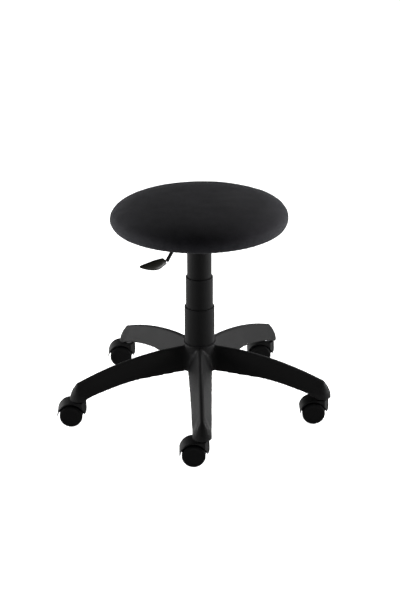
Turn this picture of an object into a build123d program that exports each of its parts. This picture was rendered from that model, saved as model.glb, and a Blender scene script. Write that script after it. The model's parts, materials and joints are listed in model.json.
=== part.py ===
from build123d import *

import os
from math import cos, radians, sin, sqrt

# Adjustable swivel stool. Millimetres, +Z up. The origin is on the floor, under the column's axis.
# One leg of the base points along -Y. At rest the gas spring is at full height.

# ---- driving dimensions ----
LEGS = 5
FIRST_LEG_ANGLE = -90.0
STEM_CIRCLE = 286.5  # radius of the circle that the caster stems stand on

# seat
SEAT_RADIUS = 197.5
SEAT_TOP = 499.0
SEAT_EQUATOR = 448.5  # height of the widest line of the cushion
SEAT_BOTTOM = 441.5
SEAT_ROUNDNESS = 2.9  # exponent of the cushion's crown
SEAT_FLAT = 172.5  # radius of the flat underside
SEAT_TURN = 40.0  # how far the seat and its lever are swivelled at rest
BOARD_RADIUS = 168.0
BOARD_THICKNESS = 12.0
DUST_COVER_RADIUS = 171.0
DUST_COVER_THICKNESS = 0.6
STAPLES = 28
STAPLE_CIRCLE = 164.0

# seat plate and release lever
PLATE_SIZE = 160.0
PLATE_SHEET = 2.5
PLATE_TOP = SEAT_BOTTOM - DUST_COVER_THICKNESS
BOX_BOTTOM = 392.0
BOX_FLOOR = (92.0, 50.0)
BOX_CORNER = 13.0
BOX_FLARE = 13.0  # how much longer and wider the box is at the flange
BOLT_SPACING = 124.0
BOLT_R = 2.95
SOCKET_R = 19.0
LEVER_R = 4.0
LEVER_Z = 424.3  # height of the lever's straight inner end
LEVER_PIVOT_X = -30.0
PIVOT_R = 2.0
BUSH_R = 3.6
LEVER_END_X = 9.0
LEVER_BEND, LEVER_DROP = 56.5, 95.2  # where the lever turns down, and where it turns out again
LEVER_LOW = 376.5
LEVER_BEND_RADII = [12.0, 5.0]
COLLAR_START, COLLAR_LENGTH, COLLAR_R = 3.0, 2.4, 5.6
PADDLE_ROD_END = (-120.0, 379.6)
PADDLE_LEAN = 40.0
PADDLE_ROOT_R = 1.6
# ovals along the paddle: distance from the lever's last bend, sideways offset, half width, half thickness
PADDLE_OVALS = [
    (5.6, 2.2, 8.6, 5.8),
    (19.0, -1.0, 11.0, 5.8),
    (41.0, -4.4, 11.8, 4.8),
    (57.0, -4.2, 8.9, 3.6),
    (69.0, -3.0, 5.5, 2.5),
    (77.0, -1.8, 2.4, 1.5),
]
NUT_R, NUT_FLANGE_R, NUT_FLANGE = 4.0, 9.0, 1.2
WASHER = 1.5

# gas spring
TUBE_R = 25.0
TUBE_BOTTOM = 74.0
TUBE_TOP = 258.0
TUBE_WALL = 1.5
CYLINDER_R = 14.0
CYLINDER_BOTTOM = 215.0
CYLINDER_TOP = 414.0
TAPER_START = 386.0
TAPER_END = 412.0
TAPER_TOP_R = 13.35
ROD_R = 5.0
PIN_R = 4.0
PIN_TOP = 420.0
PIN_BOTTOM = 402.0

# telescopic cover, outer radius of each stage
COVER_WALL = 1.6
COVER_FLANGE = 3.0
LOWER_R, MIDDLE_R, UPPER_R = 34.0, 30.8, 27.6
LOWER_TOP = 246.0
MIDDLE_BOTTOM, MIDDLE_TOP = 226.0, 318.0
UPPER_BOTTOM, UPPER_TOP = 298.0, 384.0

# star base
HUB_TOP = 157.0
HUB_BOTTOM = 92.0
HUB_R = 33.0
HUB_COLLAR_R = 35.2
BORE_TOP_R = 25.02
BORE_BOTTOM_R = 23.84
WALL_FOOT = 105.3  # underside of the leg walls, carried on to the axis
WALL_SLOPE = 0.0615  # how steeply the underside falls as far as the knee
LEG_END = 58.0  # underside of the leg at the caster
CREST_TOP = 154.7
CREST_START = 14.0
CREST_BEND = 700.0  # radius of the arc that the legs' crest follows
CREST_HALF = 5.0
CREST_FLAT = 2.2
NOSE_BULGE = 3.2  # how far the nose's walls stand proud of a straight line
CREST_SAG = 2.0
HUB_ARM = 74.0  # reach of the hub's own short arms inside the legs
FLUSH = 0.1  # how far the hub's arms stay inside the legs' walls
VALLEY_LOW, VALLEY_HIGH = 103.3, 150.0  # heights between which the valleys open out
VALLEY_LOW_R, VALLEY_HIGH_R = 9.0, 30.0
KNEE = 156.0  # where the underside turns down
LEG_SKIN = 3.85
RIB = 2.4
RIB_BITE = 1.5  # how far the ribs reach into the leg's skin
RIB_RISE = 4.0  # how far the ribs stop above the lower edge
SOCKET_DEPTH = 25.0
STEM_R = 5.45

# casters
WHEEL_R = 25.8
TRAIL = 18.5
WEB_HALF = 7.5  # half thickness of the web between the wheels
WHEEL_INNER, WHEEL_OUTER = 7.9, 24.5
WELL_R = 28.6
HOOD_R = 31.0
HOOD_TOP = 57.0
HOOD_HALF = 22.5
HOOD_EDGE = 2.0  # rounding of the hood's rims
HOUSING_R = 15.5
AXLE_R = 3.0
AXLE_HALF = 19.0
STEM_BOTTOM = 33.0
STEM_TOP = 83.0
GRIP_Z = 72.0  # bottom of the grip ring's groove
RUNNING = 0.05  # radial clearance of a running fit


def write(part, label, turn=0.0):
    """Writes one sub-part, turned about the column's axis."""
    placed = part.rotate(Axis.Z, turn) if turn else part
    placed.label = label
    export_step(placed, f"parts/{label}.step")


def outline(*corners):
    """The face with these (radius, height) corners, on the plane of X and Z."""
    with BuildSketch(Plane.XZ) as profile:
        with BuildLine():
            Polyline(*corners, close=True)
        make_face()
    return profile.sketch


# ---- star base ----


def crest_height(radius):
    return CREST_TOP - CREST_BEND + sqrt(CREST_BEND**2 - (radius - CREST_START) ** 2)


def wall_foot(radius):
    """Height of the leg walls' lower edge: nearly level to the knee, then an arc down."""
    level = WALL_FOOT - WALL_SLOPE * min(radius, KNEE)
    beyond = max(radius - KNEE, 0.0)
    return level - 0.147 * beyond - beyond**2 / 1040


def half_width(radius):
    return 28.2 - 0.027 * (radius - 50)


def across(radius):
    """Plane square to a leg at this radius, its X across the leg and its Y up."""
    return Plane(origin=(radius, 0, 0), x_dir=(0, 1, 0), z_dir=(1, 0, 0))


def wall_points(radius, foot, bulge=0.0):
    """Half of a leg's outline, from its crest down one leaning wall, which may bulge."""
    crest = crest_height(radius)
    shoulder = crest - CREST_SAG
    points = [(CREST_FLAT, crest), (CREST_HALF, shoulder)]
    for share in (1 / 3, 2 / 3, 1):
        out = CREST_HALF + (half_width(radius) - CREST_HALF) * share
        down = shoulder + (foot - shoulder) * share
        points.append((out + (bulge if share < 1 else 0), down))
    return points


def leg_section(radius, foot, bulge=0.0):
    """A leg's cross-section: leaning walls under a narrow crest with broken edges."""
    right = wall_points(radius, foot, bulge)
    left = [(-x, y) for x, y in reversed(right)]
    with BuildSketch(across(radius)) as section:
        with BuildLine():
            Polyline(*right, *left, close=True)
        make_face()
    return section.sketch


def hollow_section(radius, inset, foot):
    """The same cross-section drawn inwards by a wall's thickness, with a flat ceiling."""
    ceiling = crest_height(radius) - inset * 1.2
    foot_half = half_width(radius) - inset
    with BuildSketch(across(radius)) as section:
        with BuildLine():
            Polyline(
                (-CREST_HALF + inset / 3, ceiling),
                (-foot_half, foot),
                (foot_half, foot),
                (CREST_HALF - inset / 3, ceiling),
                close=True,
            )
        make_face()
    return section.sketch


ROOT_STATIONS = (20.0, 86.0)
INNER_STATIONS = (86.0, 120.0, KNEE)
OUTER_STATIONS = (KNEE, 205.0, 240.0, 268.0)


def leg():
    """One leg, along +X, as a full solid with a rounded nose around the caster's stem."""
    with BuildPart() as solid:
        for stations in (ROOT_STATIONS, INNER_STATIONS, OUTER_STATIONS):
            loft([leg_section(r, wall_foot(r)) for r in stations])
        loft([leg_section(268.0, wall_foot(268.0)), leg_section(STEM_CIRCLE, LEG_END, NOSE_BULGE)])
        tip_crest = crest_height(STEM_CIRCLE)
        with BuildSketch(across(STEM_CIRCLE)):
            with BuildLine():
                Polyline(
                    (0, tip_crest),
                    *wall_points(STEM_CIRCLE, LEG_END, NOSE_BULGE),
                    (0, LEG_END),
                    close=True,
                )
            make_face()
        revolve(axis=Axis((STEM_CIRCLE, 0, 0), (0, 0, -1)), revolution_arc=180)
    return solid.part


def leg_cavity(inset=LEG_SKIN, foot_rise=-1.0):
    """The hollow under a leg, open below, from the hub's tube to the caster's boss."""
    with BuildPart() as hollow:
        for stations in (ROOT_STATIONS, INNER_STATIONS, (KNEE, 205.0, 240.0, 262.0)):
            loft([hollow_section(r, inset, wall_foot(r) + foot_rise) for r in stations])
    return hollow.part


def leg_ribs():
    """Zigzag ribs that fill the hollow of a leg, a little short of its lower edge."""
    with BuildPart() as ribs:
        with BuildSketch():
            for station in range(6):
                with Locations((62 + 38 * station, 0)):
                    Rectangle(RIB, 80)
            for station in range(5):
                lean = 52 if station % 2 else -52
                with Locations((81 + 38 * station, 0)):
                    Rectangle(RIB, 80, rotation=lean)
        extrude(amount=HUB_TOP)
        add(leg_cavity(LEG_SKIN - RIB_BITE, RIB_RISE), mode=Mode.INTERSECT)
    return ribs.part


def wall_width(radius, height):
    """Half a leg's width at this height, just inside its leaning walls."""
    shoulder = crest_height(radius) - CREST_SAG
    share = (shoulder - height) / (shoulder - wall_foot(radius))
    return CREST_HALF + (half_width(radius) - CREST_HALF) * share - FLUSH


def star_plan(height, corner):
    """The plan of the hub at one height: five short arms with rounded corners between them."""
    near, far = ROOT_STATIONS
    near_half, far_half = wall_width(near, height), wall_width(far, height)
    taper = (near_half - far_half) / (far - near)
    root = far_half + taper * far
    end = far_half + taper * (far - HUB_ARM)
    with BuildSketch(Plane.XY.offset(height)) as plan:
        with PolarLocations(0, LEGS, start_angle=FIRST_LEG_ANGLE):
            Polygon((0, -root), (HUB_ARM, -end), (HUB_ARM, end), (0, root), align=None)
        valleys = plan.vertices().group_by(lambda v: Vector(v.X, v.Y).length)[0]
        fillet(valleys, corner)
    return plan.sketch


def star_base():
    arm = leg()
    hollow = leg_cavity()
    ribs = leg_ribs()
    with BuildPart() as base:
        loft([star_plan(VALLEY_LOW, VALLEY_LOW_R), star_plan(VALLEY_HIGH, VALLEY_HIGH_R)])
        with PolarLocations(0, LEGS, start_angle=FIRST_LEG_ANGLE):
            add(arm)
        # collar that the telescopic cover stands on
        revolve(outline((0, 104), (38.5, 104), (HUB_COLLAR_R, HUB_TOP), (0, HUB_TOP)), axis=Axis.Z)
        with PolarLocations(0, LEGS, start_angle=FIRST_LEG_ANGLE):
            add(hollow, mode=Mode.SUBTRACT)
        with PolarLocations(0, LEGS, start_angle=FIRST_LEG_ANGLE):
            add(ribs)
        with Locations((0, 0, HUB_BOTTOM)):
            Cylinder(HUB_R, HUB_TOP - HUB_BOTTOM - 4, align=(Align.CENTER, Align.CENTER, Align.MIN))
        # tapered bore for the column
        revolve(
            outline(
                (0, HUB_BOTTOM - 1), (BORE_BOTTOM_R, HUB_BOTTOM - 1), (BORE_TOP_R, HUB_TOP), (0, HUB_TOP)
            ),
            axis=Axis.Z,
            mode=Mode.SUBTRACT,
        )
        # sockets for the caster stems
        with PolarLocations(STEM_CIRCLE, LEGS, start_angle=FIRST_LEG_ANGLE):
            with Locations((0, 0, LEG_END)):
                Cylinder(
                    STEM_R + RUNNING,
                    SOCKET_DEPTH,
                    align=(Align.CENTER, Align.CENTER, Align.MIN),
                    mode=Mode.SUBTRACT,
                )
    return base.part


def hub_ring():
    """Steel band pressed round the lower end of the hub."""
    with BuildPart() as ring:
        revolve(outline((HUB_R, 93), (HUB_R + 2.5, 93), (HUB_R + 2.5, 102), (HUB_R, 102)), axis=Axis.Z)
    return ring.part


# ---- gas spring ----


def column_tube():
    """Outer tube: tapered where it wedges into the hub, with a closed lower end."""
    wall = TUBE_WALL
    with BuildPart() as tube:
        revolve(
            outline(
                (5.6, TUBE_BOTTOM),
                (22.6, TUBE_BOTTOM),
                (23.5, TUBE_BOTTOM + 3),
                (BORE_BOTTOM_R - 0.02, HUB_BOTTOM - 1),
                (TUBE_R, HUB_TOP),
                (TUBE_R, TUBE_TOP),
                (TUBE_R - wall, TUBE_TOP),
                (TUBE_R - wall, HUB_TOP),
                (22.2, HUB_BOTTOM),
                (22.0, TUBE_BOTTOM + 2.5),
                (5.6, TUBE_BOTTOM + 2.5),
            ),
            axis=Axis.Z,
        )
    return tube.part


def guide_bush():
    """Plastic sleeve that guides the cylinder in the tube, relieved in its middle."""
    bore = CYLINDER_R + RUNNING
    with BuildPart() as bush:
        revolve(
            outline(
                (bore, 184),
                (TUBE_R - TUBE_WALL, 184),
                (TUBE_R - TUBE_WALL, TUBE_TOP),
                (TUBE_R, TUBE_TOP),
                (TUBE_R, TUBE_TOP + 2),
                (bore, TUBE_TOP + 2),
                (bore, 250),
                (bore + 1.2, 248),
                (bore + 1.2, 204),
                (bore, 202),
            ),
            axis=Axis.Z,
        )
    return bush.part


def gas_cylinder():
    """Pressure cylinder with the tapered head that wedges into the seat plate's socket."""
    with BuildPart() as cylinder:
        revolve(
            outline(
                (12, CYLINDER_BOTTOM),
                (CYLINDER_R, CYLINDER_BOTTOM),
                (CYLINDER_R, TAPER_START),
                (TAPER_TOP_R, TAPER_END),
                (12.6, CYLINDER_TOP),
                (PIN_R + RUNNING, CYLINDER_TOP),
                (PIN_R + RUNNING, 396),
                (0, 396),
                (0, 390),
                (12, 390),
            ),
            axis=Axis.Z,
        )
    return cylinder.part


def rod_guide():
    with BuildPart() as guide:
        bore = ROD_R + RUNNING
        revolve(outline((bore, 215.5), (12, 215.5), (12, 230), (bore, 230)), axis=Axis.Z)
    return guide.part


def piston_rod():
    """Rod held at the tube's lower end, with a clip groove below and a spigot for the piston."""
    with BuildPart() as rod:
        revolve(
            outline(
                (0, 69.5),
                (4.4, 69.5),
                (ROD_R, 70.2),
                (ROD_R, 71.8),
                (4.2, 71.8),
                (4.2, 73.1),
                (ROD_R, 73.1),
                (ROD_R, 233),
                (4, 233),
                (4, 247),
                (0, 247),
            ),
            axis=Axis.Z,
        )
    return rod.part


def piston():
    with BuildPart() as disc:
        revolve(
            outline(
                (4, 233),
                (11.9, 233),
                (11.9, 237),
                (10.6, 237),
                (10.6, 240.5),
                (11.9, 240.5),
                (11.9, 244),
                (4, 244),
            ),
            axis=Axis.Z,
        )
    return disc.part


def rod_clip():
    """Open spring clip in the rod's groove."""
    with BuildPart() as clip:
        revolve(outline((4.25, 71.9), (9, 71.9), (9, 73.0), (4.25, 73.0)), axis=Axis.Z)
        with Locations((-6, 0, 72.5)):
            Box(12, 6.5, 3, mode=Mode.SUBTRACT)
    return clip.part


def flat_ring(inner, outer, bottom, top):
    """A plain washer, sleeve or bump stop on the column's axis."""
    with BuildPart() as ring:
        revolve(outline((inner, bottom), (outer, bottom), (outer, top), (inner, top)), axis=Axis.Z)
    return ring.part


BALL_R = 1.5
BALL_CIRCLE = 9.0
BALLS = 9
BALL_Z = 79.5


def thrust_cage():
    with BuildPart() as cage:
        revolve(outline((6.4, 79), (11.6, 79), (11.6, 80), (6.4, 80)), axis=Axis.Z)
        with PolarLocations(BALL_CIRCLE, BALLS):
            with Locations((0, 0, BALL_Z)):
                Sphere(BALL_R + RUNNING, mode=Mode.SUBTRACT)
    return cage.part


def thrust_balls():
    with BuildPart() as balls:
        with PolarLocations(BALL_CIRCLE, BALLS):
            with Locations((0, 0, BALL_Z)):
                Sphere(BALL_R)
    return balls.part


def release_pin():
    """Push pin of the valve, with a domed head under the lever."""
    dome_rise = 1.1
    with BuildPart() as pin:
        with BuildSketch(Plane.XZ):
            with BuildLine():
                Polyline((0, PIN_TOP), (0, PIN_BOTTOM), (PIN_R, PIN_BOTTOM), (PIN_R, PIN_TOP - dome_rise))
                TangentArc((0, PIN_TOP), (PIN_R, PIN_TOP - dome_rise), tangent=(1, 0))
            make_face()
        revolve(axis=Axis.Z)
    return pin.part


def cover_stage(radius, bottom, top, top_bore, flange):
    """One tube of the telescopic cover, with a foot flange and an inward lip."""
    inner = radius - COVER_WALL
    foot = radius + flange
    with BuildPart() as stage:
        revolve(
            outline(
                (inner, bottom),
                (foot, bottom),
                (foot, bottom + COVER_FLANGE),
                (radius, bottom + COVER_FLANGE),
                (radius, top),
                (top_bore, top),
                (top_bore, top - COVER_WALL),
                (inner, top - COVER_WALL),
            )
            if flange
            else outline(
                (inner, bottom),
                (radius, bottom),
                (radius, top),
                (top_bore, top),
                (top_bore, top - COVER_WALL),
                (inner, top - COVER_WALL),
            ),
            axis=Axis.Z,
        )
        rim = stage.edges().filter_by(GeomType.CIRCLE).group_by(Axis.Z)[-1].sort_by(SortBy.RADIUS)[-1]
        fillet(rim, 0.7)
    return stage.part


# ---- casters: the stem's axis is the local Z axis, and the wheels trail along -X ----


def caster_places():
    """The floor points under the five caster stems."""
    angles = [radians(FIRST_LEG_ANGLE + 360 / LEGS * i) for i in range(LEGS)]
    return [Location((STEM_CIRCLE * cos(a), STEM_CIRCLE * sin(a), 0)) for a in angles]


def hood_side():
    """Side view of the hood: a round back over the wheels and a straight stem housing."""
    with BuildSketch(Plane.XZ) as side:
        with BuildLine():
            Polyline(
                (-TRAIL, WHEEL_R + HOOD_R),
                (-9, HOOD_TOP),
                (HOUSING_R - 1, HOOD_TOP),
                (HOUSING_R, HOOD_TOP - 1.5),
                (HOUSING_R + 0.8, WHEEL_R + 10),
                (HOUSING_R, WHEEL_R + 4),
                (WELL_R - TRAIL + 0.8, WHEEL_R - 1.5),
                (WELL_R - TRAIL, WHEEL_R + 3.5),
                (-TRAIL, WHEEL_R + 3.5),
                (-TRAIL - WELL_R, WHEEL_R + 3.5),
                (-TRAIL - HOOD_R + 1, WHEEL_R - 1.5),
                (-TRAIL - HOOD_R, WHEEL_R + 4),
            )
            ThreePointArc(
                (-TRAIL - HOOD_R, WHEEL_R + 4),
                (-TRAIL - HOOD_R * sin(radians(42)), WHEEL_R + HOOD_R * cos(radians(42))),
                (-TRAIL, WHEEL_R + HOOD_R),
            )
        make_face()
    return side.sketch


def hood_plan():
    """The hood seen from above: straight sides, a rounded front round the stem's housing."""
    length = TRAIL + HOOD_R + 1
    front = HOUSING_R - 2.5
    with BuildSketch() as plan:
        with Locations((-length, 0)):
            Rectangle(length, 2 * HOOD_HALF, align=(Align.MIN, Align.CENTER))
        Circle(HOUSING_R + 1.2)
        right = [(0, HOOD_HALF), (6, HOOD_HALF), (front, 10)]
        left = [(x, -y) for x, y in reversed(right)]
        Polygon(*right, *left, align=None)
    return plan.sketch


def hood_web():
    """Side view of the web between the wheels, from the housing down to the axle's boss."""
    with BuildSketch(Plane.XZ) as web:
        with BuildLine():
            Polyline(
                (HOUSING_R - 3, WHEEL_R + 8),
                (5, 18),
                (-TRAIL + 4, 16),
                (-TRAIL - 7, 20),
                (-TRAIL - 9, 45),
                (0, 52),
                close=True,
            )
        make_face()
        with Locations((-TRAIL, WHEEL_R)):
            Circle(3 * AXLE_R)
    return web.sketch


def caster_hood():
    """Hood, stem housing and the web that carries the axle, in one moulding."""
    stem_hole = STEM_R + RUNNING
    with BuildPart() as hood:
        extrude(hood_side(), amount=HOOD_HALF + 1, both=True)
        extrude(hood_plan(), amount=HOOD_TOP + 2, mode=Mode.INTERSECT)
        arcs = hood.edges().filter_by(GeomType.CIRCLE).filter_by(lambda e: e.radius > HOOD_R - 0.5)
        rims = arcs.filter_by(lambda e: abs(abs(e.center().Y) - HOOD_HALF) < 0.1)
        fillet(rims, HOOD_EDGE)
        # wheel wells on both sides of the web
        for side in (1, -1):
            with BuildSketch(Plane.XZ.offset(-side * WEB_HALF)):
                with Locations((-TRAIL, WHEEL_R)):
                    Circle(WELL_R)
            extrude(amount=-side * HOOD_HALF, mode=Mode.SUBTRACT)
        extrude(hood_web(), amount=WEB_HALF, both=True)
        with Locations((0, 0, STEM_BOTTOM - 0.5)):
            Cylinder(stem_hole, HOOD_TOP, align=(Align.CENTER, Align.CENTER, Align.MIN), mode=Mode.SUBTRACT)
        with Locations((-TRAIL, 0, WHEEL_R)):
            Cylinder(AXLE_R, 2 * HOOD_HALF, rotation=(90, 0, 0), mode=Mode.SUBTRACT)
    return hood.part


def caster_axle():
    with BuildPart() as axle:
        with Locations((-TRAIL, 0, WHEEL_R)):
            Cylinder(AXLE_R, 2 * AXLE_HALF, rotation=(90, 0, 0))
        chamfer(axle.edges().filter_by(GeomType.CIRCLE), 0.5)
    return axle.part


def caster_wheel(side):
    """A wheel on the left (1) or right (-1): closed outer disc, open ribbed inner side."""
    inner, outer = WHEEL_INNER, WHEEL_OUTER
    with BuildPart() as wheel:
        with BuildSketch(Plane.XY):
            with BuildLine():
                Polyline(
                    (0, outer - 0.8),
                    (17.6, outer - 0.8),
                    (18.6, outer),
                    (22.6, outer),
                    (WHEEL_R - 0.5, outer - 2),
                    (WHEEL_R, outer - 4),
                    (WHEEL_R, inner + 2.8),
                    (WHEEL_R - 1.2, inner + 1),
                    (20.6, inner + 1),
                    (19.6, outer - 4.5),
                    (7.4, outer - 4.5),
                    (6.8, inner),
                    (AXLE_R + RUNNING, inner),
                    (AXLE_R + RUNNING, AXLE_HALF + 0.6),
                    (0, AXLE_HALF + 0.6),
                    close=True,
                )
            make_face()
        revolve(axis=Axis.Y)
        # ribs between the bearing and the rim
        with BuildSketch(Plane.XZ.offset(-(outer - 4.5))):
            with PolarLocations(13.5, 8):
                Rectangle(14, 1.6)
        extrude(amount=outer - 4.5 - inner - 2.5)
    placed = wheel.part if side > 0 else mirror(wheel.part, about=Plane.XZ)
    return placed.moved(Location((-TRAIL, 0, WHEEL_R)))


def caster_stem():
    """Steel stem with a collar that bears on the hood and a groove for the grip ring."""
    with BuildPart() as stem:
        revolve(
            outline(
                (0, STEM_BOTTOM),
                (STEM_R - 0.8, STEM_BOTTOM),
                (STEM_R, STEM_BOTTOM + 0.8),
                (STEM_R, HOOD_TOP + 0.1),
                (8.5, HOOD_TOP + 0.1),
                (8.5, LEG_END),
                (STEM_R, LEG_END),
                (STEM_R, GRIP_Z),
                (STEM_R - 0.9, GRIP_Z),
                (STEM_R - 0.9, GRIP_Z + 3),
                (STEM_R, GRIP_Z + 3),
                (STEM_R - 1.4, STEM_TOP),
                (0, STEM_TOP),
            ),
            axis=Axis.Z,
        )
    return stem.part


def grip_ring():
    """Split spring ring that holds the stem in its socket."""
    with BuildPart() as ring:
        revolve(
            outline(
                (STEM_R - 0.85, GRIP_Z + 0.1),
                (STEM_R + RUNNING, GRIP_Z + 0.1),
                (STEM_R + RUNNING, GRIP_Z + 2.9),
                (STEM_R - 0.85, GRIP_Z + 2.9),
            ),
            axis=Axis.Z,
        )
        with Locations((STEM_R, 0, GRIP_Z)):
            Box(6, 2, 8, mode=Mode.SUBTRACT)
    return ring.part


# ---- seat, in its own frame: the lever points along -X ----


def seat_cushion():
    """Domed round cushion, widest near its lower edge, hollowed for the board."""
    crown = SEAT_TOP - SEAT_EQUATOR
    steps = 16
    rim_points = []
    for step in range(steps + 1):
        angle = radians(90.0 * step / steps)
        radius = SEAT_RADIUS * cos(angle) ** (2 / SEAT_ROUNDNESS)
        height = SEAT_EQUATOR + crown * sin(angle) ** (2 / SEAT_ROUNDNESS)
        rim_points.append((radius if step < steps else 0.0, height))
    with BuildPart() as cushion:
        with BuildSketch(Plane.XZ):
            with BuildLine():
                Spline(*rim_points, tangents=[(0, 1), (-1, 0)])
                Polyline((0, SEAT_TOP), (0, SEAT_BOTTOM), (SEAT_FLAT, SEAT_BOTTOM))
                EllipticalCenterArc(
                    (SEAT_FLAT, SEAT_EQUATOR),
                    SEAT_RADIUS - SEAT_FLAT,
                    SEAT_EQUATOR - SEAT_BOTTOM,
                    start_angle=270,
                    arc_size=90,
                )
            make_face()
        revolve(axis=Axis.Z)
        with Locations((0, 0, SEAT_BOTTOM)):
            Cylinder(
                BOARD_RADIUS,
                BOARD_THICKNESS,
                align=(Align.CENTER, Align.CENTER, Align.MIN),
                mode=Mode.SUBTRACT,
            )
    return cushion.part


def seat_board():
    with BuildPart() as board:
        with Locations((0, 0, SEAT_BOTTOM)):
            Cylinder(BOARD_RADIUS, BOARD_THICKNESS, align=(Align.CENTER, Align.CENTER, Align.MIN))
        with GridLocations(BOLT_SPACING, BOLT_SPACING, 2, 2):
            with Locations((0, 0, SEAT_BOTTOM)):
                Cylinder(NUT_R, 40, mode=Mode.SUBTRACT)
            with Locations((0, 0, SEAT_BOTTOM + BOARD_THICKNESS)):
                Cylinder(NUT_FLANGE_R, 2 * NUT_FLANGE, mode=Mode.SUBTRACT)
    return board.part


def t_nuts():
    """Four T-nuts, their flanges let into the top of the board."""
    with BuildPart() as nuts:
        with GridLocations(BOLT_SPACING, BOLT_SPACING, 2, 2):
            with Locations((0, 0, SEAT_BOTTOM + 1)):
                Cylinder(NUT_R, BOARD_THICKNESS - 1, align=(Align.CENTER, Align.CENTER, Align.MIN))
            with Locations((0, 0, SEAT_BOTTOM + BOARD_THICKNESS - NUT_FLANGE)):
                Cylinder(NUT_FLANGE_R, NUT_FLANGE, align=(Align.CENTER, Align.CENTER, Align.MIN))
            with Locations((0, 0, SEAT_BOTTOM)):
                Cylinder(BOLT_R, 40, mode=Mode.SUBTRACT)
    return nuts.part


def seat_dust_cover():
    """Thin sheet under the board, with clearance holes for the bolts."""
    with BuildPart() as sheet:
        with Locations((0, 0, PLATE_TOP)):
            Cylinder(DUST_COVER_RADIUS, DUST_COVER_THICKNESS, align=(Align.CENTER, Align.CENTER, Align.MIN))
        with GridLocations(BOLT_SPACING, BOLT_SPACING, 2, 2):
            with Locations((0, 0, PLATE_TOP)):
                Cylinder(NUT_R, 10, mode=Mode.SUBTRACT)
    return sheet.part


def seat_staples():
    """Wire staples that hold the sheet and the fabric's edge."""
    with BuildPart() as staples:
        with PolarLocations(STAPLE_CIRCLE, STAPLES):
            with Locations((0, 0, PLATE_TOP)):
                Box(1.2, 10, 0.6, align=(Align.CENTER, Align.CENTER, Align.MAX))
    return staples.part


def box_plan(height, grow, inset=0.0):
    """The plate's box seen from above: its floor, grown towards the flange and inset by a wall."""
    length, width = BOX_FLOOR
    with BuildSketch(Plane.XY.offset(height)) as plan:
        RectangleRounded(length + grow - 2 * inset, width + grow - 2 * inset, BOX_CORNER - inset)
    return plan.sketch


def seat_plate():
    """Pressed steel plate: a flat flange around a tapered box that is open on top."""
    under = PLATE_TOP - PLATE_SHEET
    sheet = PLATE_SHEET
    with BuildPart() as plate:
        with BuildSketch(Plane.XY.offset(under)):
            RectangleRounded(PLATE_SIZE, PLATE_SIZE, 14)
            with GridLocations(BOLT_SPACING, BOLT_SPACING, 2, 2):
                Circle(BOLT_R + 0.6, mode=Mode.SUBTRACT)
        extrude(amount=sheet)
        loft([box_plan(BOX_BOTTOM, 0), box_plan(under + 0.2, BOX_FLARE)])
        loft(
            [
                box_plan(BOX_BOTTOM + sheet, 0.6, sheet),
                box_plan(PLATE_TOP, BOX_FLARE + 0.6, sheet),
            ],
            mode=Mode.SUBTRACT,
        )
        fillet(plate.faces().sort_by(Axis.Z)[0].edges(), 2.2)
        # hole for the taper socket, slot for the lever, holes for the pivot's bushes
        with Locations((0, 0, BOX_BOTTOM)):
            Cylinder(SOCKET_R, 12, mode=Mode.SUBTRACT)
        with Locations((-52, 0, LEVER_Z + 0.4)):
            Box(16, 2 * LEVER_R + 2.4, 2 * LEVER_R + 7.5, mode=Mode.SUBTRACT)
        with Locations((LEVER_PIVOT_X, 0, LEVER_Z)):
            Cylinder(BUSH_R, 90, rotation=(90, 0, 0), mode=Mode.SUBTRACT)
        # stiffening beads along the flange
        for side in (1, -1):
            with BuildSketch(Plane.XY.offset(under)):
                with Locations((0, side * 62)):
                    SlotOverall(76, 9)
            extrude(amount=-1.4, taper=30)
    return plate.part


def taper_socket():
    """Socket welded through the floor of the plate's box, bored to the cylinder's taper."""
    slope = (CYLINDER_R - TAPER_TOP_R) / (TAPER_END - TAPER_START)
    with BuildPart() as socket:
        revolve(
            outline(
                (CYLINDER_R, TAPER_START),
                (SOCKET_R + 3, TAPER_START),
                (SOCKET_R + 3, BOX_BOTTOM),
                (SOCKET_R, BOX_BOTTOM),
                (SOCKET_R, TAPER_END - 2),
                (SOCKET_R - 1, TAPER_END - 1),
                (TAPER_TOP_R + slope, TAPER_END - 1),
            ),
            axis=Axis.Z,
        )
    return socket.part


def plate_bolts():
    """Four flanged hexagon bolts, from below into the T-nuts."""
    head_top = PLATE_TOP - PLATE_SHEET - WASHER
    with BuildPart() as bolts:
        with GridLocations(BOLT_SPACING, BOLT_SPACING, 2, 2):
            with Locations((0, 0, head_top)):
                Cylinder(BOLT_R, SEAT_BOTTOM + 8 - head_top, align=(Align.CENTER, Align.CENTER, Align.MIN))
        with BuildSketch(Plane.XY.offset(head_top - 4)):
            with GridLocations(BOLT_SPACING, BOLT_SPACING, 2, 2):
                RegularPolygon(5.6, 6)
        extrude(amount=4)
    return bolts.part


def plate_washers():
    with BuildPart() as washers:
        with GridLocations(BOLT_SPACING, BOLT_SPACING, 2, 2):
            with Locations((0, 0, PLATE_TOP - PLATE_SHEET)):
                Cylinder(7.5, WASHER, align=(Align.CENTER, Align.CENTER, Align.MAX))
                Cylinder(BOLT_R + 0.3, 3 * WASHER, mode=Mode.SUBTRACT)
    return washers.part


def lever_path():
    """Centre line of the lever: level over the valve pin, steeply down, then out to the paddle."""
    corners = [(LEVER_END_X, LEVER_Z), (-LEVER_BEND, LEVER_Z), (-LEVER_DROP, LEVER_LOW), PADDLE_ROD_END]
    with BuildLine(Plane.XZ) as path:
        FilletPolyline(*corners, radius=LEVER_BEND_RADII)
    return path.line


def lever_rod():
    with BuildPart() as rod:
        with BuildLine():
            add(lever_path())
        with BuildSketch(Plane(origin=(LEVER_END_X, 0, LEVER_Z), z_dir=(-1, 0, 0))):
            Circle(LEVER_R)
        sweep()
        with Locations((LEVER_PIVOT_X, 0, LEVER_Z)):
            Cylinder(PIVOT_R, 4 * LEVER_R, rotation=(90, 0, 0), mode=Mode.SUBTRACT)
    return rod.part


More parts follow.
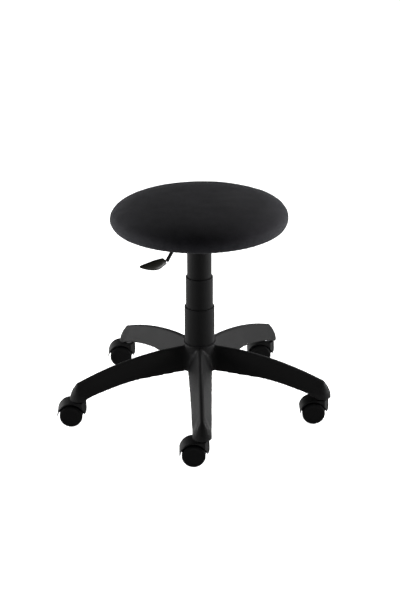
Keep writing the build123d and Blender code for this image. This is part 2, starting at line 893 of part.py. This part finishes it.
def lever_pivot_pin():
    with BuildPart() as pin:
        with Locations((LEVER_PIVOT_X, 0, LEVER_Z)):
            Cylinder(PIVOT_R, 62, rotation=(90, 0, 0))
    return pin.part


def lever_bushes():
    """Two flanged plastic bushes in the side walls of the plate's box."""
    with BuildPart() as bushes:
        for side in (1, -1):
            with Locations((LEVER_PIVOT_X, side * 28.5, LEVER_Z)):
                Cylinder(BUSH_R, 8, rotation=(90, 0, 0))
            with Locations((LEVER_PIVOT_X, side * 24.6, LEVER_Z)):
                Cylinder(BUSH_R + 2, 1.6, rotation=(90, 0, 0))
        with Locations((LEVER_PIVOT_X, 0, LEVER_Z)):
            Cylinder(PIVOT_R + RUNNING, 90, rotation=(90, 0, 0), mode=Mode.SUBTRACT)
    return bushes.part


def paddle_plane():
    """Plane of the paddle's blade: +X towards the tip, tilted about its own length."""
    rise = Vector(PADDLE_ROD_END[0] + LEVER_DROP, 0, PADDLE_ROD_END[1] - LEVER_LOW).normalized()
    lean = radians(PADDLE_LEAN)
    level = Vector(0, 1, 0)
    normal = rise.cross(level).normalized()
    if normal.Z < 0:
        normal = normal * -1
    across = level * cos(lean) + normal * sin(lean)
    return Plane(origin=(-LEVER_DROP, 0, LEVER_LOW), x_dir=rise, z_dir=rise.cross(across))


def lever_paddle():
    """Leaf-shaped grip over the end of the lever, lofted through ovals, blunt at its root."""
    blade = paddle_plane()
    with BuildPart() as paddle:
        for along, middle, half, thick in PADDLE_OVALS:
            centre = blade.from_local_coords((along, middle, 0))
            with BuildSketch(Plane(origin=centre, x_dir=blade.y_dir, z_dir=blade.x_dir)):
                Ellipse(half, thick)
        loft()
        fillet(paddle.faces().sort_by(Axis(blade.origin, blade.x_dir))[0].edges(), PADDLE_ROOT_R)
        add(lever_rod(), mode=Mode.SUBTRACT)
    return paddle.part


def lever_collar():
    """Ferrule on the lever between its last bend and the paddle."""
    blade = paddle_plane()
    start = blade.from_local_coords((COLLAR_START, 0, 0))
    with BuildPart() as collar:
        with BuildSketch(Plane(origin=start, z_dir=blade.x_dir)):
            Circle(COLLAR_R)
            Circle(LEVER_R, mode=Mode.SUBTRACT)
        extrude(amount=COLLAR_LENGTH)
        rims = collar.edges().filter_by(GeomType.CIRCLE).filter_by(lambda e: e.radius > LEVER_R + 1)
        chamfer(rims, 0.5)
    return collar.part


# ---- write the parts ----

os.makedirs("parts", exist_ok=True)

write(star_base(), "star_base")
write(hub_ring(), "hub_ring")
write(column_tube(), "column_tube")
write(guide_bush(), "guide_bush")
write(gas_cylinder(), "gas_cylinder")
write(rod_guide(), "rod_guide")
write(piston_rod(), "piston_rod")
write(piston(), "piston")
write(rod_clip(), "rod_clip")
write(flat_ring(6.2, 12.5, TUBE_BOTTOM + 2.5, BALL_Z - BALL_R), "thrust_washer_lower")
write(thrust_cage(), "thrust_cage")
write(thrust_balls(), "thrust_balls")
write(flat_ring(ROD_R, 12.5, BALL_Z + BALL_R + RUNNING, 82.6), "thrust_washer_upper")
write(flat_ring(ROD_R, 10.5, 82.6, 92.0), "bump_stop")
write(release_pin(), "release_pin")
write(cover_stage(LOWER_R, HUB_TOP, LOWER_TOP, MIDDLE_R + 0.4, 2.2), "cover_lower")
write(cover_stage(MIDDLE_R, MIDDLE_BOTTOM, MIDDLE_TOP, UPPER_R + 0.4, 1.2), "cover_middle")
write(cover_stage(UPPER_R, UPPER_BOTTOM, UPPER_TOP, CYLINDER_R, 1.2), "cover_upper")

seat_pieces = {
    "seat_cushion": seat_cushion,
    "seat_board": seat_board,
    "t_nuts": t_nuts,
    "seat_dust_cover": seat_dust_cover,
    "seat_staples": seat_staples,
    "seat_plate": seat_plate,
    "taper_socket": taper_socket,
    "plate_bolts": plate_bolts,
    "plate_washers": plate_washers,
    "lever_rod": lever_rod,
    "lever_pivot_pin": lever_pivot_pin,
    "lever_bushes": lever_bushes,
    "lever_collar": lever_collar,
    "lever_paddle": lever_paddle,
}
for label, make in seat_pieces.items():
    write(make(), label, SEAT_TURN)

places = caster_places()
stem, ring = caster_stem(), grip_ring()
write(Compound([stem.moved(place) for place in places]), "caster_stems")
write(Compound([ring.moved(place) for place in places]), "stem_grip_rings")

caster_pieces = {
    "hood": caster_hood(),
    "axle": caster_axle(),
    "wheel_left": caster_wheel(1),
    "wheel_right": caster_wheel(-1),
}
for number, place in enumerate(places, start=1):
    for name, piece in caster_pieces.items():
        write(piece.moved(place), f"caster_{number}_{name}")
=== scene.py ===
import json
import math

import bmesh
import bpy
from mathutils import Matrix, Vector, noise


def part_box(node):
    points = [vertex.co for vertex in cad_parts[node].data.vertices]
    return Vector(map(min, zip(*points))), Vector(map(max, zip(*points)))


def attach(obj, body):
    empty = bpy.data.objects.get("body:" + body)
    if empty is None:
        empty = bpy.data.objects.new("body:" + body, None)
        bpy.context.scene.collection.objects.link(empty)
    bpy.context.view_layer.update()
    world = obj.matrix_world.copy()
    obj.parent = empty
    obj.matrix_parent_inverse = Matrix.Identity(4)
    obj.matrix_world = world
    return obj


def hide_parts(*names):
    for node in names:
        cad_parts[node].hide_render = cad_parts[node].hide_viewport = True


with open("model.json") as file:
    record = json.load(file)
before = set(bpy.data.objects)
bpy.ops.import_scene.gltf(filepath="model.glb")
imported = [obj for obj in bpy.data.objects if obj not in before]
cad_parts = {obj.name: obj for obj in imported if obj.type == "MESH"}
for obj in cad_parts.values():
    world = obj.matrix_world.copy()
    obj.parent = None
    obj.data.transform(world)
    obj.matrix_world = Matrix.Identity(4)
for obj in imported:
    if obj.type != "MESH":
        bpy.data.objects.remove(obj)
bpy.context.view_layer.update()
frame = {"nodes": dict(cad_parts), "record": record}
nodes = frame["nodes"]
scene = bpy.context.scene

# Lengths are in metres and angles in radians, unless a comment says otherwise.

# ---------------------------------------------------------------- material helpers


def new_material(name, color, roughness, specular=0.5, metallic=0.0):
    """A new Principled material, with its node tree and its shader."""
    material = bpy.data.materials.new(name)
    material.use_nodes = True
    shader = material.node_tree.nodes["Principled BSDF"]
    shader.inputs["Base Color"].default_value = (*color, 1)
    shader.inputs["Roughness"].default_value = roughness
    shader.inputs["Specular IOR Level"].default_value = specular
    shader.inputs["Metallic"].default_value = metallic
    return material, material.node_tree, shader


def add_node(tree, kind, **values):
    """A new node: in_SOCKET_NAME sets an input's value, and any other name a property."""
    node = tree.nodes.new(kind)
    for key, value in values.items():
        if key.startswith("in_"):
            node.inputs[key[3:].replace("_", " ")].default_value = value
        else:
            setattr(node, key, value)
    return node


def object_coordinates(tree):
    return add_node(tree, "ShaderNodeTexCoord").outputs["Object"]


def noise_field(tree, scale, detail, vector=None):
    field = add_node(
        tree, "ShaderNodeTexNoise", in_Scale=scale, in_Detail=detail, in_Roughness=0.55
    )
    tree.links.new(vector or object_coordinates(tree), field.inputs["Vector"])
    return field.outputs["Fac"]


def remap(tree, value, low, high, start=0.3, end=0.7):
    """Turns the range start..end into low..high; a noise field mostly lies in 0.3..0.7."""
    span = add_node(
        tree,
        "ShaderNodeMapRange",
        in_From_Min=start,
        in_From_Max=end,
        in_To_Min=low,
        in_To_Max=high,
    )
    tree.links.new(value, span.inputs["Value"])
    return span.outputs["Result"]


def compute(tree, operation, *terms, use_clamp=False):
    """A Math node whose terms are other nodes' outputs or plain floats."""
    node = add_node(tree, "ShaderNodeMath", operation=operation, use_clamp=use_clamp)
    for term, socket in zip(terms, node.inputs):
        if isinstance(term, float):
            socket.default_value = term
        else:
            tree.links.new(term, socket)
    return node.outputs["Value"]


def mix_colors(tree, factor, first, second):
    mix = add_node(tree, "ShaderNodeMix", data_type="RGBA")
    mix.inputs["A"].default_value = (*first, 1)
    mix.inputs["B"].default_value = (*second, 1)
    tree.links.new(factor, mix.inputs["Factor"])
    return mix.outputs["Result"]


def bump(tree, shader, height, distance, strength, normal=None):
    node = add_node(tree, "ShaderNodeBump", in_Strength=strength, in_Distance=distance)
    tree.links.new(height, node.inputs["Height"])
    if normal is not None:
        tree.links.new(normal, node.inputs["Normal"])
    tree.links.new(node.outputs["Normal"], shader.inputs["Normal"])
    return node.outputs["Normal"]


def dress(tree, shader, shade, gloss):
    """Feeds the shader its colour and its roughness."""
    tree.links.new(shade, shader.inputs["Base Color"])
    tree.links.new(gloss, shader.inputs["Roughness"])


def lighter(color, factor):
    return tuple(channel * factor for channel in color)


# ---------------------------------------------------------------- kinds of material


def plastic(name, color, roughness, grain_scale, grain_depth, wear=1.6, specular=0.1):
    """Moulded plastic: fine grain, uneven gloss, and edges a little paler from wear."""
    material, tree, shader = new_material(name, color, roughness, specular)
    cloudy = noise_field(tree, scale=14.0, detail=4.0)
    edge = add_node(tree, "ShaderNodeNewGeometry").outputs["Pointiness"]
    worn = remap(tree, edge, low=0.0, high=1.0, start=0.53, end=0.62)
    patchy = compute(tree, "MULTIPLY", worn, cloudy)
    shade = mix_colors(tree, patchy, color, lighter(color, wear))
    dress(tree, shader, shade, remap(tree, cloudy, roughness - 0.05, roughness + 0.07))
    wavy = noise_field(tree, scale=22.0, detail=2.0)
    sunken = bump(tree, shader, wavy, distance=0.0004, strength=0.35)
    grain = noise_field(tree, grain_scale, detail=2.0)
    bump(tree, shader, grain, grain_depth, strength=0.5, normal=sunken)
    return material


def metal(name, color, roughness, scratch=0.0002):
    """Plated or polished steel with fine drawn lines and a cloudy gloss."""
    material, tree, shader = new_material(name, color, roughness, metallic=1.0)
    cloudy = noise_field(tree, scale=60.0, detail=4.0)
    shade = mix_colors(tree, cloudy, color, lighter(color, 0.82))
    dress(tree, shader, shade, remap(tree, cloudy, roughness - 0.06, roughness + 0.1))
    stretch = add_node(tree, "ShaderNodeMapping", in_Scale=(900, 900, 40))
    tree.links.new(object_coordinates(tree), stretch.inputs["Vector"])
    lines = noise_field(tree, scale=1.0, detail=2.0, vector=stretch.outputs["Vector"])
    bump(tree, shader, lines, distance=scratch, strength=0.3)
    return material


def painted(name, color, roughness, specular=0.5):
    """A coat of paint or varnish with a faint orange peel."""
    material, tree, shader = new_material(name, color, roughness, specular)
    cloudy = noise_field(tree, scale=30.0, detail=3.0)
    shade = mix_colors(tree, cloudy, color, lighter(color, 1.3))
    dress(tree, shader, shade, remap(tree, cloudy, roughness - 0.04, roughness + 0.08))
    peel = noise_field(tree, scale=700.0, detail=2.0)
    bump(tree, shader, peel, distance=0.0002, strength=0.4)
    return material


def woven(name, color, sheen):
    """Fine plain weave: crossing yarns from the piece's own flattened cloth coordinates."""
    material, tree, shader = new_material(name, color, roughness=0.85, specular=0.04)
    shader.inputs["Sheen Weight"].default_value = sheen
    shader.inputs["Sheen Roughness"].default_value = 0.45
    shader.inputs["Sheen Tint"].default_value = (0.55, 0.56, 0.6, 1)
    cloth = add_node(tree, "ShaderNodeUVMap", uv_map="cloth").outputs["UV"]
    yarns = []
    for direction in ("X", "Y"):
        wave = add_node(
            tree,
            "ShaderNodeTexWave",
            wave_type="BANDS",
            bands_direction=direction,
            in_Scale=420.0,
            in_Distortion=0.6,
            in_Detail=1.0,
        )
        tree.links.new(cloth, wave.inputs["Vector"])
        yarns.append(wave.outputs["Fac"])
    fuzz = noise_field(tree, scale=900.0, detail=3.0, vector=cloth)
    weave = compute(tree, "MULTIPLY_ADD", compute(tree, "MAXIMUM", *yarns), 0.7, fuzz)
    # flecked yarn: painted shade, darker where the weave sinks between the yarns, and uneven
    # dyeing a few threads wide
    dyeing = noise_field(tree, scale=260.0, detail=3.0, vector=cloth)
    yarn_gap_shade = remap(tree, weave, low=-0.6, high=0.4, start=0.5, end=1.3)
    dye_and_gap_shade = compute(tree, "MULTIPLY_ADD", dyeing, 1.2, yarn_gap_shade, use_clamp=True)
    shade = mix_colors(tree, dye_and_gap_shade, lighter(color, 0.55), lighter(color, 1.25))
    cloudy = noise_field(tree, scale=9.0, detail=3.0)
    dress(tree, shader, shade, remap(tree, cloudy, low=0.78, high=0.92))
    bump(tree, shader, weave, distance=0.0003, strength=0.5)
    return material


def spunbond(name, color):
    """Thin non-woven cloth: loose fibres pressed together at a grid of small points."""
    material, tree, shader = new_material(name, color, roughness=0.9, specular=0.05)
    fibres = noise_field(tree, scale=1400.0, detail=4.0)
    points = add_node(tree, "ShaderNodeTexVoronoi", in_Scale=420.0, in_Randomness=0.15)
    tree.links.new(object_coordinates(tree), points.inputs["Vector"])
    pressed = remap(tree, points.outputs["Distance"], low=0.0, high=1.0, start=0.15, end=0.4)
    height = compute(tree, "MULTIPLY_ADD", fibres, 0.4, pressed)
    shade = mix_colors(tree, pressed, lighter(color, 0.6), color)
    dress(tree, shader, shade, remap(tree, fibres, low=0.8, high=0.95))
    bump(tree, shader, height, distance=0.0002, strength=0.6)
    return material


# ---------------------------------------------------------------- materials


BLACK_PAINT = (0.0045, 0.0045, 0.0048)
SOOT = (0.03, 0.03, 0.03)


def moulding(color, roughness, grain_scale=900.0, grain_depth=0.0001, **values):
    """The values of a plastic, as a row of the table below."""
    return plastic, dict(
        color=color,
        roughness=roughness,
        grain_scale=grain_scale,
        grain_depth=grain_depth,
        **values,
    )


# material slot: kind of material, and what that kind asks for
LOOKS = {
    "cushion_fabric": (woven, dict(color=(0.0068, 0.0068, 0.0080), sheen=0.03)),
    "board_wood": (painted, dict(color=(0.42, 0.28, 0.16), roughness=0.7)),
    "dust_sheet": (spunbond, dict(color=(0.02, 0.02, 0.021))),
    "zinc_steel": (metal, dict(color=(0.6, 0.6, 0.62), roughness=0.35)),
    "painted_steel": (painted, dict(color=BLACK_PAINT, roughness=0.42, specular=0.08)),
    "lever_steel": (painted, dict(color=BLACK_PAINT, roughness=0.4, specular=0.04)),
    "collar_steel": (metal, dict(color=(0.35, 0.35, 0.36), roughness=0.3)),
    "lever_plastic": moulding((0.006, 0.006, 0.0048), 0.42, specular=0.06),
    "rod_chrome": (metal, dict(color=(0.8, 0.8, 0.82), roughness=0.12, scratch=0.00005)),
    "cover_plastic": moulding(
        (0.0042, 0.0042, 0.0043), 0.46, grain_scale=1200.0, specular=0.02
    ),
    "base_nylon": moulding(
        (0.0065, 0.0065, 0.0066), 0.42, grain_scale=700.0, grain_depth=0.0002, specular=0.015
    ),
    "caster_nylon": moulding(
        (0.0055, 0.0055, 0.0056), 0.42, grain_depth=0.00015, specular=0.015
    ),
    "wheel_nylon": moulding((0.0025, 0.0025, 0.0026), 0.44, specular=0.015),
    "bush_plastic": moulding((0.7, 0.7, 0.66), 0.4, wear=1.0),
    "dark_bush": moulding(SOOT, 0.4),
    "stop_rubber": moulding(SOOT, 0.75, grain_depth=0.0002),
    "seal_rubber": moulding(SOOT, 0.7, grain_depth=0.0002),
    "bearing_steel": (metal, dict(color=(0.66, 0.66, 0.68), roughness=0.2)),
}
materials = {name: build(name, **values) for name, (build, values) in LOOKS.items()}
node_slots = {part["node"]: part["material_slot"] for part in frame["record"]["subparts"]}

for name, obj in nodes.items():
    material = materials[node_slots[name]]
    for polygon in obj.data.polygons:
        polygon.use_smooth = True
    if not obj.material_slots:
        obj.data.materials.append(material)
    for slot in obj.material_slots:
        slot.link = "OBJECT"
        slot.material = material

# ---------------------------------------------------------------- moulded edges


def moulded(name, voxel, rounds):
    """Softens a moulding's edges: small even quads over its CAD solid, then smoothed."""
    obj = nodes[name]
    weld = obj.modifiers.new("weld", "WELD")
    weld.merge_threshold = 0.00001
    skin = obj.modifiers.new("skin", "REMESH")
    skin.mode = "VOXEL"
    skin.voxel_size = voxel
    skin.use_smooth_shade = True
    soften = obj.modifiers.new("soften", "SMOOTH")
    soften.iterations = rounds


moulded("star_base", voxel=0.0016, rounds=12)
moulded("lever_paddle", voxel=0.0008, rounds=4)
for name in nodes:
    if name.endswith("_hood") or "_wheel_" in name:
        moulded(name, voxel=0.0008, rounds=3)

# ---------------------------------------------------------------- seat cushion

seat_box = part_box("seat_cushion")
board_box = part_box("seat_board")
SEAT_R = seat_box[1].x
SEAT_LOW, SEAT_HIGH = seat_box[0].z, seat_box[1].z
SEAT_EQUATOR = SEAT_LOW + 0.007  # height of the cushion's widest line
BOARD_R, BOARD_TOP = board_box[1].x, board_box[1].z
HELD_REACH = BOARD_R + 0.006  # the pad rests on the board within this radius...
HELD_HEIGHT = BOARD_TOP + 0.003  # ...and below this height

PAD_VOXEL = 0.005
PAD_INSET = 0.005  # how much lower the crown is before it swells
PAD_PRESSURE = 4.0
PAD_FRAMES = 20
PAD_TRAVEL = 0.0055  # how far the swelling may move a point
CROWN_LEAN = 0.012  # slope of the crown, a little fuller on one side
DENTS = ((0.0009, 11.0), (0.0004, 34.0))  # depth and spacing of the foam's unevenness
DENT_FADE = (SEAT_EQUATOR - 0.004, SEAT_EQUATOR + 0.02)  # from the side into the crown
RIPPLES = 84  # folds of the cloth pulled under the seat
RIPPLE_DEPTH = 0.0007
RIPPLE_WIDTH = 0.016  # how far in from the edge a fold is at its full depth
RIPPLE_EDGE = BOARD_R - 0.004
DOME_POWER = 2 / 2.9  # the dome's section is a superellipse with the exponent 2.9
DOME_STEPS = 90


def smoothstep(value, low, high):
    t = min(max((value - low) / (high - low), 0.0), 1.0)
    return t * t * (3 - 2 * t)


def select_only(obj):
    bpy.ops.object.select_all(action="DESELECT")
    obj.select_set(True)
    bpy.context.view_layer.objects.active = obj


def add_modifier(obj, kind, apply=False, **values):
    modifier = obj.modifiers.new(kind.lower(), kind)
    for key, value in values.items():
        setattr(modifier, key, value)
    if apply:
        select_only(obj)
        bpy.ops.object.modifier_apply(modifier=modifier.name)


def held(point):
    """True for the points of the pad that rest on the board."""
    return math.hypot(point.x, point.y) < HELD_REACH and point.z < HELD_HEIGHT


def swell(pad):
    """Inflates the pad with a short cloth simulation, and caps how far each point moves."""
    before = [vertex.co.copy() for vertex in pad.data.vertices]
    group = pad.vertex_groups.new(name="held")
    group.add([i for i, point in enumerate(before) if held(point)], 1.0, "REPLACE")
    cloth = pad.modifiers.new("cloth", "CLOTH")
    settings = cloth.settings
    settings.use_pressure = True
    settings.uniform_pressure_force = PAD_PRESSURE
    settings.effector_weights.gravity = 0.0
    settings.vertex_group_mass = "held"
    settings.quality = 5
    cloth.collision_settings.use_self_collision = False
    for number in range(1, PAD_FRAMES + 1):
        scene.frame_set(number)
    select_only(pad)
    bpy.ops.object.modifier_apply(modifier=cloth.name)
    scene.frame_set(1)
    for vertex, start in zip(pad.data.vertices, before):
        move = vertex.co - start
        if move.length > PAD_TRAVEL:
            move = move.normalized() * PAD_TRAVEL
        # the cover is stretched over the foam, so that it never pulls in below the crown
        outward = Vector((start.x, start.y, 0)).normalized()
        move -= outward * min(move.dot(outward), 0.0)
        if start.z < SEAT_EQUATOR:
            move.z = min(move.z, 0.0)
        vertex.co = start + move


def fit_to_solid(pad):
    """Scales the swelled pad to the width and the height that its CAD solid has."""
    widest = max(math.hypot(vertex.co.x, vertex.co.y) for vertex in pad.data.vertices)
    top = max(vertex.co.z for vertex in pad.data.vertices)
    rise = (SEAT_HIGH - SEAT_EQUATOR) / (top - SEAT_EQUATOR)
    for vertex in pad.data.vertices:
        vertex.co.x *= SEAT_R / widest
        vertex.co.y *= SEAT_R / widest
        if vertex.co.z > SEAT_EQUATOR:
            vertex.co.z = SEAT_EQUATOR + (vertex.co.z - SEAT_EQUATOR) * rise


def wrinkle(pad):
    """A leaning, uneven crown, and folds where the cloth is pulled under the seat."""
    for vertex in pad.data.vertices:
        point = vertex.co
        radius = math.hypot(point.x, point.y)
        angle = math.atan2(point.y, point.x)
        outward = Vector((point.x, point.y, 0)).normalized()
        dent = sum(depth * noise.noise(point * spacing) for depth, spacing in DENTS)
        if not held(point):
            above = smoothstep(point.z, *DENT_FADE)
            vertex.co.z += (dent + CROWN_LEAN * point.x) * above
            vertex.co += outward * dent * (1 - 0.6 * above)
        if point.z < SEAT_EQUATOR and radius > RIPPLE_EDGE:
            pull = smoothstep(radius, SEAT_R, SEAT_R - RIPPLE_WIDTH)
            wander = 5 * noise.noise(Vector((angle * 3, 0, 0)))
            ripple = math.sin(angle * RIPPLES + wander)
            strength = 0.6 + 0.4 * noise.noise(Vector((angle * 9, 4, 0)))
            vertex.co.z -= RIPPLE_DEPTH * pull * ripple * strength


def padded_seat():
    """The seat pad: a slightly smaller copy of its CAD solid, swelled and wrinkled."""
    pad = bpy.data.objects.new("seat_pad", nodes["seat_cushion"].data.copy())
    scene.collection.objects.link(pad)
    add_modifier(pad, "REMESH", apply=True, mode="VOXEL", voxel_size=PAD_VOXEL)
    add_modifier(pad, "SMOOTH", apply=True, iterations=8)
    for vertex in pad.data.vertices:
        if not held(vertex.co):
            vertex.co.z -= PAD_INSET * smoothstep(vertex.co.z, SEAT_EQUATOR, SEAT_HIGH)
    swell(pad)
    add_modifier(pad, "SMOOTH", apply=True, iterations=6)
    add_modifier(pad, "SUBSURF", apply=True, levels=1)
    fit_to_solid(pad)
    wrinkle(pad)
    return pad


def dome_slack():
    """How much longer the cloth is than the seat's radius, from the top to the widest line."""
    rise = SEAT_HIGH - SEAT_EQUATOR
    length, last_radius, last_height = 0.0, 0.0, rise
    for step in range(1, DOME_STEPS + 1):
        angle = math.pi / 2 * (1 - step / DOME_STEPS)
        radius = SEAT_R * math.cos(angle) ** DOME_POWER
        height = rise * math.sin(angle) ** DOME_POWER
        length += math.hypot(radius - last_radius, height - last_height)
        last_radius, last_height = radius, height
    return length - SEAT_R


def cloth_coordinates(obj):
    """Lays the cover flat round its top, so that the weave runs unbroken over dome and side."""
    slack = dome_slack()
    layer = obj.data.uv_layers.new(name="cloth")
    for loop in obj.data.loops:
        point = obj.data.vertices[loop.vertex_index].co
        radius = math.hypot(point.x, point.y)
        if point.z >= SEAT_EQUATOR:
            share = (SEAT_HIGH - point.z) / (SEAT_HIGH - SEAT_EQUATOR)
            angle = math.acos(min(share, 1.0)) if share > 0 else math.pi / 2
            length = radius + slack * (1 - angle / (math.pi / 2)) ** 2
        else:
            length = 2 * SEAT_R - radius + slack
        scale = length / max(radius, 1e-5)
        layer.data[loop.index].uv = (point.x * scale, point.y * scale)


cushion = padded_seat()
cushion.data.materials.clear()
cushion.data.materials.append(materials["cushion_fabric"])
for polygon in cushion.data.polygons:
    polygon.use_smooth = True
cloth_coordinates(cushion)
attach(cushion, "seat")
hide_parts("seat_cushion")

# ---------------------------------------------------------------- cloth under the board

SEAT_TURN = math.radians(-50)  # how far the whole seat is turned on its spindle
STAPLES = 28
COVER_RINGS = 60
COVER_SPOKES = 8 * STAPLES
COVER_EDGE = 0.012  # width of the stapled rim, where the cloth lies flat
COVER_LIFT = 0.02  # how far out from the plate the cloth hangs freely
PUCKER_DEPTH = 0.0009  # how far the cloth hangs between two staples
BOLT_CIRCLE = 0.0877  # radius of the circle that the plate's four bolts stand on
BOLT_HOLE_R = 0.004


def cover_point(reach, angle, radius, plate_reach, height):
    """A point of the cloth: flat under the plate and at the rim, hanging between staples."""
    past_plate = smoothstep(reach, plate_reach, plate_reach + COVER_LIFT)
    loose = past_plate * smoothstep(reach, radius, radius - COVER_EDGE)
    between = 0.5 - 0.5 * math.cos(STAPLES * (angle - SEAT_TURN))
    place = Vector((math.cos(angle), math.sin(angle), reach * 20)) * 3
    drop = PUCKER_DEPTH * loose * between * (0.7 + 0.6 * noise.noise(place))
    return Vector((reach * math.cos(angle), reach * math.sin(angle), height - drop))


def bolt_places():
    """The four bolts that hold the plate to the board, seen from above."""
    turns = [SEAT_TURN + math.radians(45 + 90 * corner) for corner in range(4)]
    return [Vector((BOLT_CIRCLE * math.cos(t), BOLT_CIRCLE * math.sin(t))) for t in turns]


def stapled_cover():
    """The thin round cloth under the board, with holes for the plate's bolts."""
    low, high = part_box("seat_dust_cover")
    radius, thickness = high.x, high.z - low.z
    height = high.z - thickness / 2
    plate_reach = max(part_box("seat_plate")[1].xy)
    bolts = bolt_places()
    angles = [2 * math.pi * spoke / COVER_SPOKES for spoke in range(COVER_SPOKES)]
    cloth = bmesh.new()
    rings = [[cloth.verts.new((0, 0, height))] * COVER_SPOKES]
    for ring in range(1, COVER_RINGS + 1):
        reach = radius * ring / COVER_RINGS
        points = [cover_point(reach, a, radius, plate_reach, height) for a in angles]
        rings.append([cloth.verts.new(point) for point in points])
    for inner, outer in zip(rings, rings[1:]):
        for spoke in range(COVER_SPOKES):
            after = (spoke + 1) % COVER_SPOKES
            corners = [inner[spoke], outer[spoke], outer[after], inner[after]]
            corners = list(dict.fromkeys(corners))  # the innermost ring is one point
            centre = sum((corner.co.xy for corner in corners), Vector((0, 0))) / len(corners)
            if min((centre - bolt).length for bolt in bolts) > BOLT_HOLE_R:
                cloth.faces.new(corners).smooth = True
    mesh = bpy.data.meshes.new("dust_cover")
    cloth.to_mesh(mesh)
    cloth.free()
    cover = bpy.data.objects.new("dust_cover", mesh)
    scene.collection.objects.link(cover)
    add_modifier(cover, "SOLIDIFY", thickness=thickness, offset=0.0)
    return cover, radius


dust_cover, cover_radius = stapled_cover()
dust_cover.data.materials.append(materials["dust_sheet"])
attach(dust_cover, "seat")
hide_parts("seat_dust_cover")

# ---------------------------------------------------------------- camera

CAMERA_DISTANCE = 3.5033
CAMERA_HEIGHT = 1.718
CAMERA_PITCH = 0.39442
CAMERA_ROLL = -0.0042
CAMERA_AZIMUTH = -0.016
CAMERA_LENS = 101.06  # millimetres, as is the sensor
CAMERA_SENSOR = 36.0
CAMERA_SHIFT = 0.0009  # a share of the picture's longer side

camera_data = bpy.data.cameras.new("camera")
camera_data.lens = CAMERA_LENS
camera_data.sensor_width = CAMERA_SENSOR
camera_data.shift_x = CAMERA_SHIFT
camera = bpy.data.objects.new("camera", camera_data)
scene.collection.objects.link(camera)
camera.matrix_world = (
    Matrix.Rotation(CAMERA_AZIMUTH, 4, "Z")
    @ Matrix.Translation((0, -CAMERA_DISTANCE, CAMERA_HEIGHT))
    @ Matrix.Rotation(math.pi / 2 - CAMERA_PITCH, 4, "X")
    @ Matrix.Rotation(CAMERA_ROLL, 4, "Z")
)
scene.camera = camera

# ---------------------------------------------------------------- floor

FLOOR_REACH = 14.0
FLOOR_COLOR = (0.5, 0.5, 0.5)
FLOOR_GLOW = 0.95  # the floor's own light, so that it shows white under soft shadows

floor_mesh = bpy.data.meshes.new("floor")
floor_mesh.from_pydata(
    [
        (-FLOOR_REACH, -FLOOR_REACH, 0),
        (FLOOR_REACH, -FLOOR_REACH, 0),
        (FLOOR_REACH, FLOOR_REACH, 0),
        (-FLOOR_REACH, FLOOR_REACH, 0),
    ],
    [],
    [(0, 1, 2, 3)],
)
floor = bpy.data.objects.new("floor", floor_mesh)
scene.collection.objects.link(floor)
floor_material, _, floor_shader = new_material("floor", FLOOR_COLOR, 0.9, specular=0.05)
floor_shader.inputs["Emission Color"].default_value = (1, 1, 1, 1)
floor_shader.inputs["Emission Strength"].default_value = FLOOR_GLOW
floor_mesh.materials.append(floor_material)

# ---------------------------------------------------------------- lights

SUN_POWER = 2.2
SUN_WIDTH = math.radians(45)
SUN_FROM = (0.4, 0.72, 0.6)
# name, place, the point it faces, width and height, watts: two low panels beside and behind
# the stool, a small box straight beside it on each side, and a faint one at the front left
AREA_LIGHTS = (
    ("left_panel", (-1.7, 0.6, 0.4), (0.3, 0.2, 0.2), (2.4, 0.8), 40.0),
    ("right_panel", (1.7, 0.6, 0.4), (-0.3, 0.2, 0.2), (2.4, 0.8), 8.0),
    ("left_box", (-1.5, 0.15, 0.5), (0, 0, 0.15), (0.8, 0.5), 44.0),
    ("right_box", (1.5, 0.1, 0.5), (0, 0, 0.15), (0.8, 0.5), 70.0),
    ("front_left", (-1.2, -1.6, 0.25), (0.25, -0.05, 0.08), (0.4, 0.4), 6.0),
)


def add_light(name, kind, energy):
    data = bpy.data.lights.new(name, kind)
    data.energy = energy
    light = bpy.data.objects.new(name, data)
    scene.collection.objects.link(light)
    return light


rear_light = add_light("rear_light", "SUN", SUN_POWER)
rear_light.data.angle = SUN_WIDTH
rear_light.rotation_euler = Vector(SUN_FROM).to_track_quat("Z", "Y").to_euler()
for name, place, target, size, power in AREA_LIGHTS:
    light = add_light(name, "AREA", power)
    light.data.shape = "RECTANGLE"
    light.data.size, light.data.size_y = size
    light.location = place
    facing = Vector(target) - Vector(place)
    light.rotation_euler = facing.to_track_quat("-Z", "Y").to_euler()

# ---------------------------------------------------------------- backdrop

BACKDROP_GLOW = 1.0  # a white backdrop at floor level...
ROOM_GLOW = 0.04  # ...that fades into a dim room above
GLOW_FADE = (0.08, 0.24)  # heights of the fade, as the sine of the angle above the floor

world = bpy.data.worlds.new("world")
world.use_nodes = True
sky = world.node_tree
background = sky.nodes["Background"]
background.inputs["Color"].default_value = (1, 1, 1, 1)
direction = add_node(sky, "ShaderNodeTexCoord").outputs["Generated"]
height = add_node(sky, "ShaderNodeSeparateXYZ")
sky.links.new(direction, height.inputs["Vector"])
glow = remap(sky, height.outputs["Z"], BACKDROP_GLOW, ROOM_GLOW, *GLOW_FADE)
sky.links.new(glow, background.inputs["Strength"])
scene.world = world
scene.view_settings.view_transform = "Standard"
